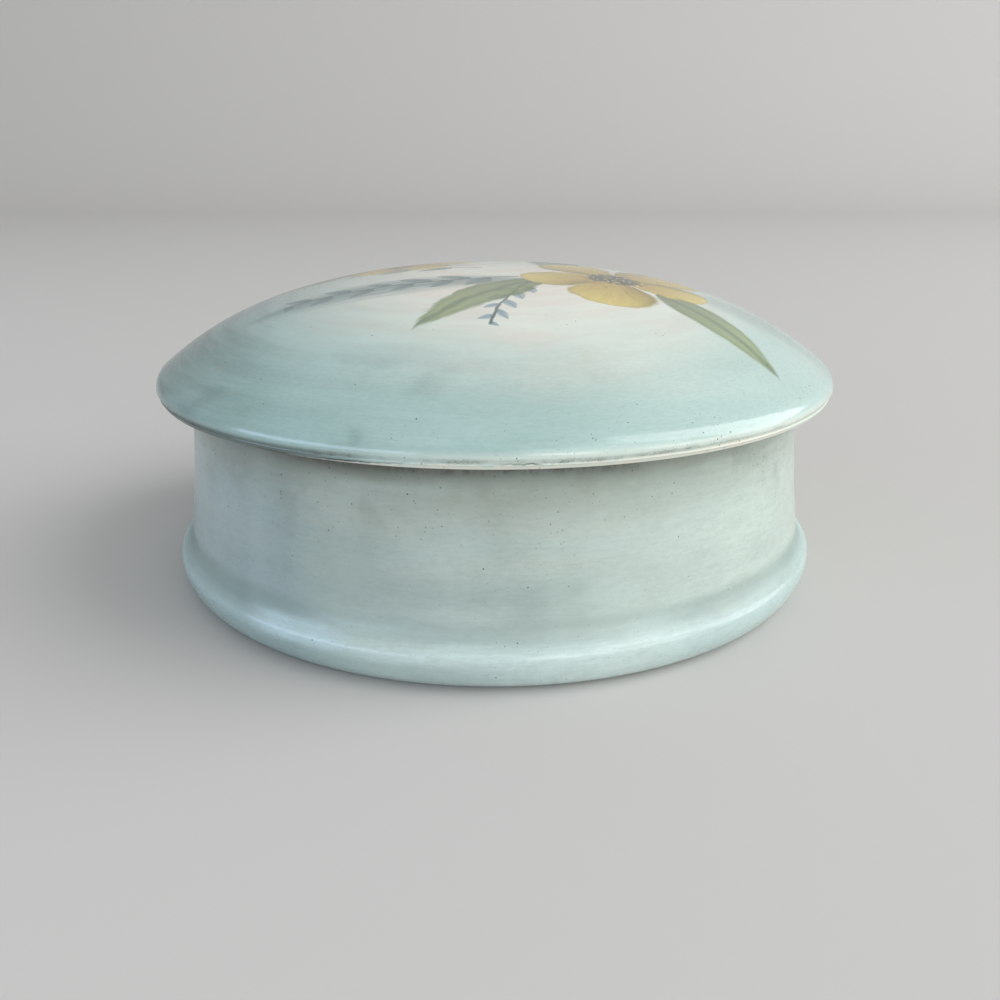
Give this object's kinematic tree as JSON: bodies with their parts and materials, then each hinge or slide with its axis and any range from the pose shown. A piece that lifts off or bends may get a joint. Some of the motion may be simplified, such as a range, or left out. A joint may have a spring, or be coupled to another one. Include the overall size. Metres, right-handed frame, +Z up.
{
  "type": "ceramic trinket box",
  "caption": "Round glazed ceramic trinket box with a low domed lid that lifts off, a gently flared wall and a rounded foot.",
  "frame": {"origin": "centre of the foot ring, on the surface that the box stands on", "axes": "+Z up along the box's axis; -Y towards the side that the picture shows"},
  "size_m": [0.115, 0.115, 0.0518],
  "materials": {
    "base_glaze": "glossy painted glaze",
    "lid_glaze": "glossy painted glaze"
  },
  "bodies": {
    "root": {"base": "base_glaze", "lid": "lid_glaze"}
  },
  "joints": []
}
